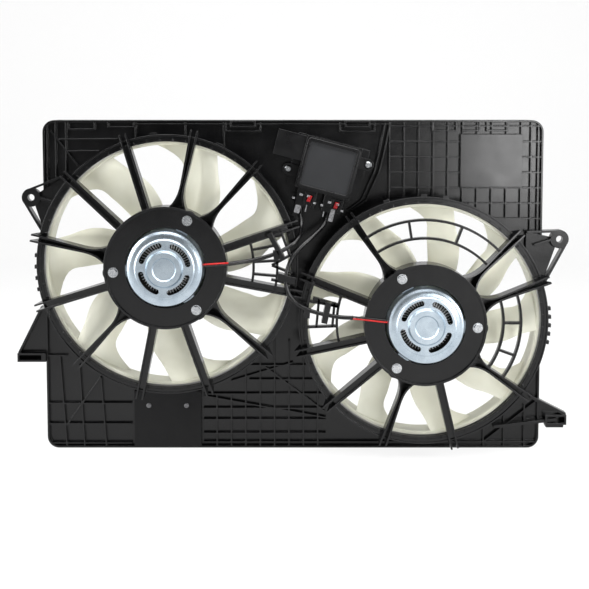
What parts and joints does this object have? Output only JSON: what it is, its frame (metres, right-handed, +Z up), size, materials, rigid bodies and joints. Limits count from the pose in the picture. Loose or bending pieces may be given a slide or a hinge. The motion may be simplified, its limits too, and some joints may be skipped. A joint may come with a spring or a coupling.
{
  "type": "radiator fan shroud",
  "caption": "Moulded radiator fan shroud with two motor-driven ring fans on spoked mounts, a control module, clipped leads and a rubber ram-air flap.",
  "frame": {"origin": "on the bottom edge, midway along the panel, in the plane of the sheet's front face", "axes": "+Z up, +X to the right for someone who looks at the motors, -Y towards the motors, +Y towards the radiator"},
  "size_m": [0.7495, 0.118, 0.451],
  "materials": {
    "shroud_plastic": "black glass-filled nylon, semi-gloss",
    "fan_plastic": "natural ivory nylon, satin",
    "zinc_steel": "blue-white zinc plate",
    "sintered_bronze": "oiled sintered bronze",
    "ferrite": "dark ferrite",
    "steel": "ground steel",
    "winding": "laminated core with enamelled copper wire",
    "copper": "bare copper alloy",
    "carbon": "sintered carbon",
    "holder_plastic": "dark phenolic",
    "bolt_zinc": "bright zinc plate",
    "plug_plastic": "black moulded plastic",
    "lock_red": "red moulded plastic",
    "sleeve_plastic": "black shrink sleeve",
    "wire_red": "red wire insulation",
    "wire_black": "black wire insulation",
    "module_plastic": "black moulded housing",
    "module_grey": "dark grey lid",
    "board": "green circuit board",
    "flap_rubber": "matt black rubber sheet",
    "peg_plastic": "dark grey plastic"
  },
  "bodies": {
    "shroud": {"left_barrel": "shroud_plastic", "left_spider": "shroud_plastic", "left_motor_can": "zinc_steel", "left_motor_end_plate": "zinc_steel", "left_motor_bearings": "sintered_bronze", "left_motor_magnets": "ferrite", "left_brushes": "carbon", "left_brush_holder": "holder_plastic", "left_motor_bolts": "bolt_zinc", "left_plug": "plug_plastic", "left_lead_sleeve": "sleeve_plastic", "left_red_wire": "wire_red", "left_black_wire": "wire_black", "left_lead_clip": "shroud_plastic", "right_barrel": "shroud_plastic", "right_spider": "shroud_plastic", "right_motor_can": "zinc_steel", "right_motor_end_plate": "zinc_steel", "right_motor_bearings": "sintered_bronze", "right_motor_magnets": "ferrite", "right_brushes": "carbon", "right_brush_holder": "holder_plastic", "right_motor_bolts": "bolt_zinc", "right_plug": "plug_plastic", "right_lead_sleeve": "sleeve_plastic", "right_red_wire": "wire_red", "right_black_wire": "wire_black", "right_lead_clip": "shroud_plastic", "shroud_panel": "shroud_plastic", "module_base": "module_plastic", "module_cover": "module_grey", "module_board": "board", "module_pins": "copper", "module_screws": "bolt_zinc", "flap_strip": "flap_rubber", "flap_pegs": "peg_plastic"},
    "left_rotor": {"left_fan": "fan_plastic", "left_motor_shaft": "steel", "left_armature": "winding", "left_commutator": "copper", "left_hub_nut": "steel"},
    "right_rotor": {"right_fan": "fan_plastic", "right_motor_shaft": "steel", "right_armature": "winding", "right_commutator": "copper", "right_hub_nut": "steel"},
    "flap": {"flap_leaf": "flap_rubber"},
    "left_lock": {"left_plug_lock": "lock_red"},
    "right_lock": {"right_plug_lock": "lock_red"}
  },
  "joints": [
    {"name": "left_fan_spin", "type": "hinge", "parent": "shroud", "child": "left_rotor", "pos_m": [-0.1655, -0.03, 0.261], "axis": [0, 1, 0], "continuous": true},
    {"name": "right_fan_spin", "type": "hinge", "parent": "shroud", "child": "right_rotor", "pos_m": [0.1725, -0.03, 0.186], "axis": [0, 1, 0], "continuous": true},
    {"name": "flap_swing", "type": "hinge", "parent": "shroud", "child": "flap", "pos_m": [-0.172, -0.0083, 0.052], "axis": [-1, 0, 0], "range_deg": [0, 60]},
    {"name": "left_lock_slide", "type": "slide", "parent": "shroud", "child": "left_lock", "axis": [-0.2538, 0, -0.9673], "range_m": [0, 0.003]},
    {"name": "right_lock_slide", "type": "slide", "parent": "shroud", "child": "right_lock", "axis": [-0.2538, 0, -0.9673], "range_m": [0, 0.003]}
  ]
}
